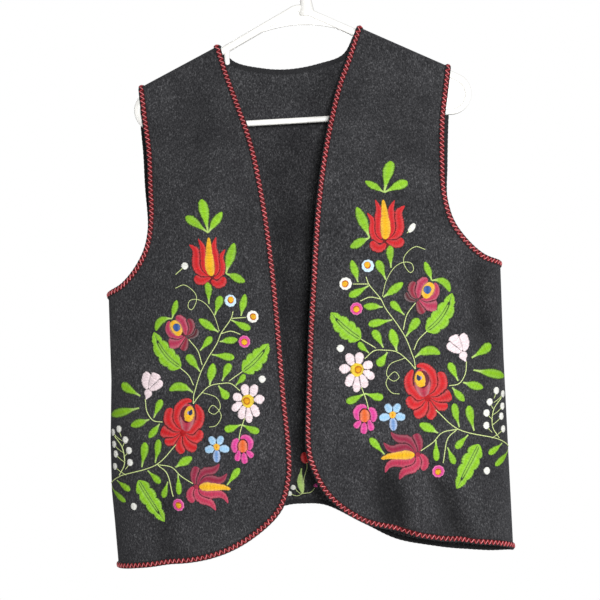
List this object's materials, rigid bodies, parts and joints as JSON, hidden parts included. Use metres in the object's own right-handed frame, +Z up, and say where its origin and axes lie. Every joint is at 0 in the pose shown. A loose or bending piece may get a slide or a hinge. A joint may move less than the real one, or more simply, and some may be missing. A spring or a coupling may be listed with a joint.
{
  "type": "embroidered folk vest on a hanger",
  "caption": "Sleeveless felt folk vest, open at the front with rounded corners, hanging from a plastic hanger.",
  "frame": {"origin": "seat of the hanger's hook: the top of the inside of its bend, where it lies on a rail", "axes": "+Z up, along the hanging vest; +X to the viewer's right; -Y towards the viewer, the vest's front"},
  "size_m": [0.5018, 0.0999, 0.7817],
  "materials": {
    "felt": "charcoal wool felt, fulled and matt, with fine pale flecks; silk embroidery on both fronts",
    "edge_band": "black felt edge with red zigzag stitches",
    "hanger": "white moulded plastic, satin"
  },
  "bodies": {
    "root": {"front_left": "felt", "front_right": "felt", "back": "felt", "edge_band_left": "edge_band", "edge_band_right": "edge_band", "edge_band_neck": "edge_band", "edge_band_back_hem": "edge_band", "armhole_band_left": "edge_band", "armhole_band_right": "edge_band", "hanger_body": "hanger", "hanger_hook": "hanger"}
  },
  "joints": []
}
